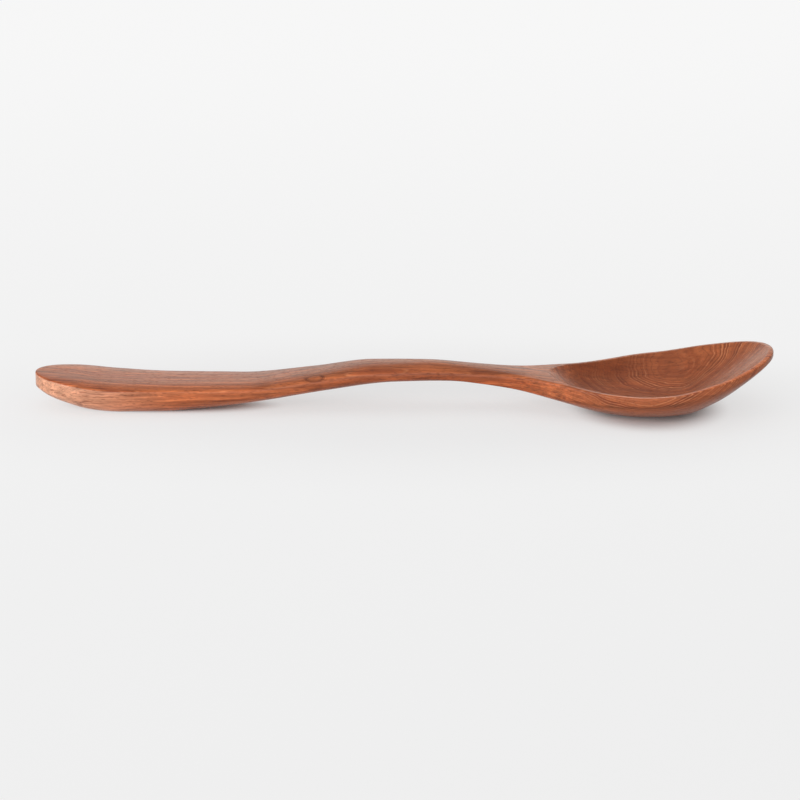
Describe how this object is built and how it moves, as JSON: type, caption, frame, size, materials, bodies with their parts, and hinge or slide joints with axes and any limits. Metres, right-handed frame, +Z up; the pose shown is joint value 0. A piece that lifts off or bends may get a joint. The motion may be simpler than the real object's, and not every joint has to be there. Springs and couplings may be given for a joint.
{
  "type": "wooden spoon",
  "caption": "Wooden table spoon carved in one piece: flat rounded handle, slim oval neck arched off the table, and an egg-shaped hollow bowl with a flat rim and a raised tip.",
  "frame": {"origin": "centre of the bounding box in plan, at the level of the table that the spoon rests on", "axes": "+X from the handle's end to the bowl's tip, +Z up out of the bowl, +Y across the spoon"},
  "size_m": [0.21, 0.0446, 0.0178],
  "materials": {
    "wood": "smooth, oiled to a satin sheen, open pores along the grain"
  },
  "bodies": {
    "root": {"spoon": "wood"}
  },
  "joints": []
}
